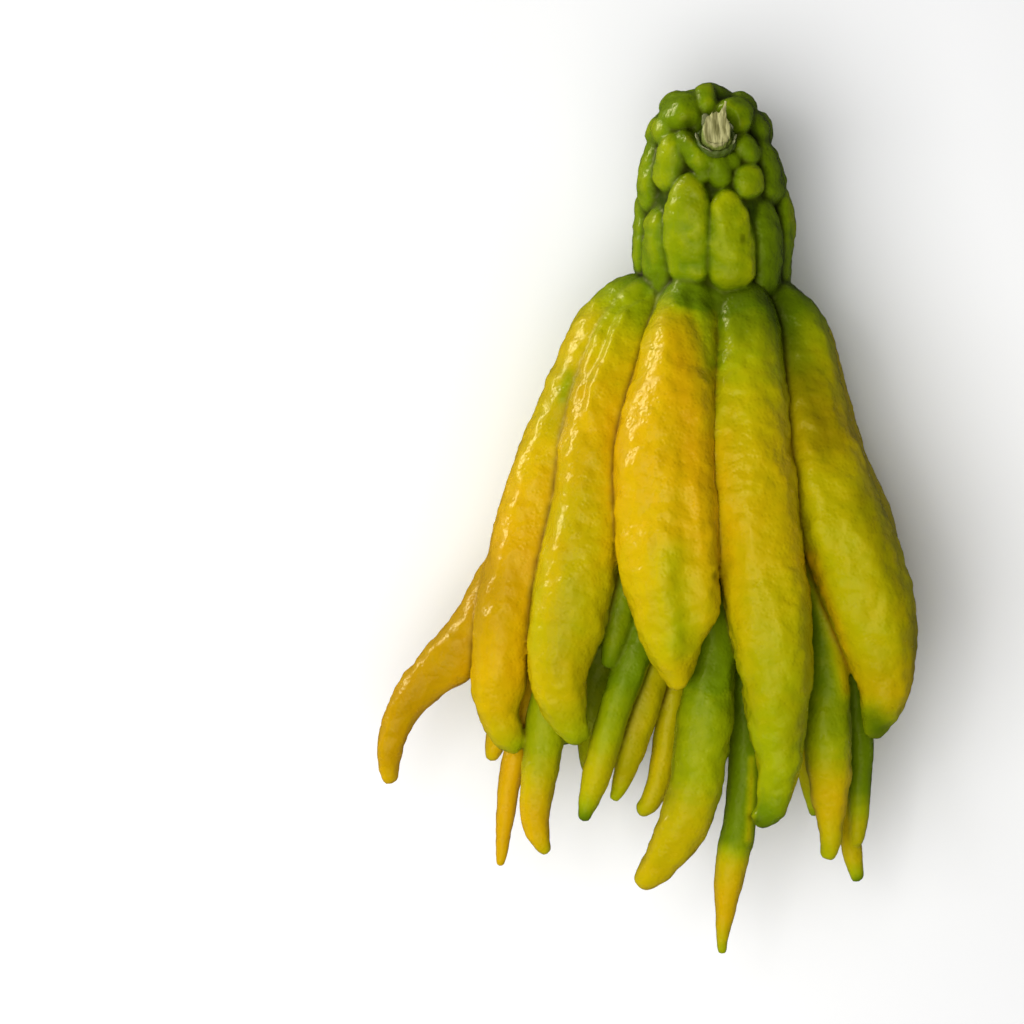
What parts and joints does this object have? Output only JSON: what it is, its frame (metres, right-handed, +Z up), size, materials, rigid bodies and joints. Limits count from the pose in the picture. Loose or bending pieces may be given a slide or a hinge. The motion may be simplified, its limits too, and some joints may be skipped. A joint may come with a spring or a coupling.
{
  "type": "buddha's hand citron",
  "caption": "Whole picked fingered citron lying on its back: lobed neck knob with a cut stalk, and a spreading whorl of thick and thin fingers, for food displays and still-life scenes.",
  "frame": {"origin": "centre of the fruit's footprint box, on the surface it lies on", "axes": "+Y from the finger tips to the stalk end, +Z up out of the surface, +X to the right seen from above with the stalk end away"},
  "size_m": [0.1555, 0.2508, 0.0876],
  "materials": {
    "rind": "waxy, pitted with oil glands, green at the neck ripening to golden yellow",
    "calyx_button": "dull, slightly wrinkled",
    "cut_stalk": "dry torn fibre"
  },
  "bodies": {
    "root": {"fruit": "rind", "calyx": "calyx_button", "stem_stub": "cut_stalk"}
  },
  "joints": []
}
